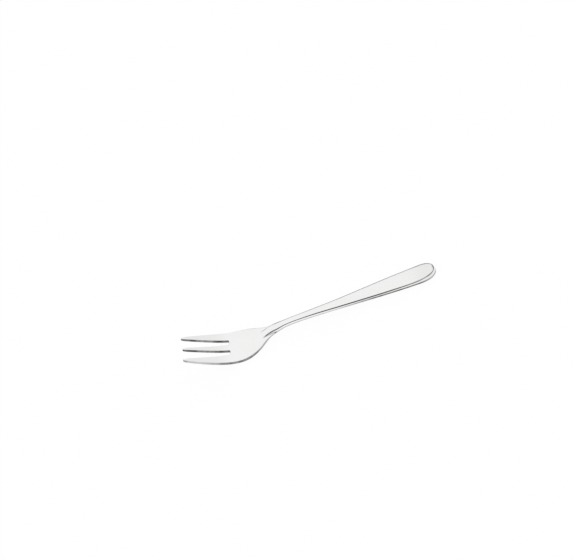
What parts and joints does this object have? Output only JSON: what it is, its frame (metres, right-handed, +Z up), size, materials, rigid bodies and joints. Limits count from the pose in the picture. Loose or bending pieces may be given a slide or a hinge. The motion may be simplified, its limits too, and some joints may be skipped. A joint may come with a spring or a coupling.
{
  "type": "appetizer fork",
  "caption": "Polished stainless appetizer fork with tapered tines, a wide rounded palm, a narrow thick neck and a flat handle that widens to a rounded end",
  "frame": {"origin": "middle of the bottom of the box around the fork, on the table it lies on", "axes": "+X along the fork towards the end of the handle, +Y towards the right tine (right as seen by the person holding the handle), +Z up"},
  "size_m": [0.1498, 0.0218, 0.0176],
  "materials": {
    "stainless": "mirror-polished stainless steel with faint polishing lines"
  },
  "bodies": {
    "root": {"left_tine": "stainless", "middle_tine": "stainless", "right_tine": "stainless", "palm": "stainless", "neck": "stainless", "handle": "stainless"}
  },
  "joints": []
}
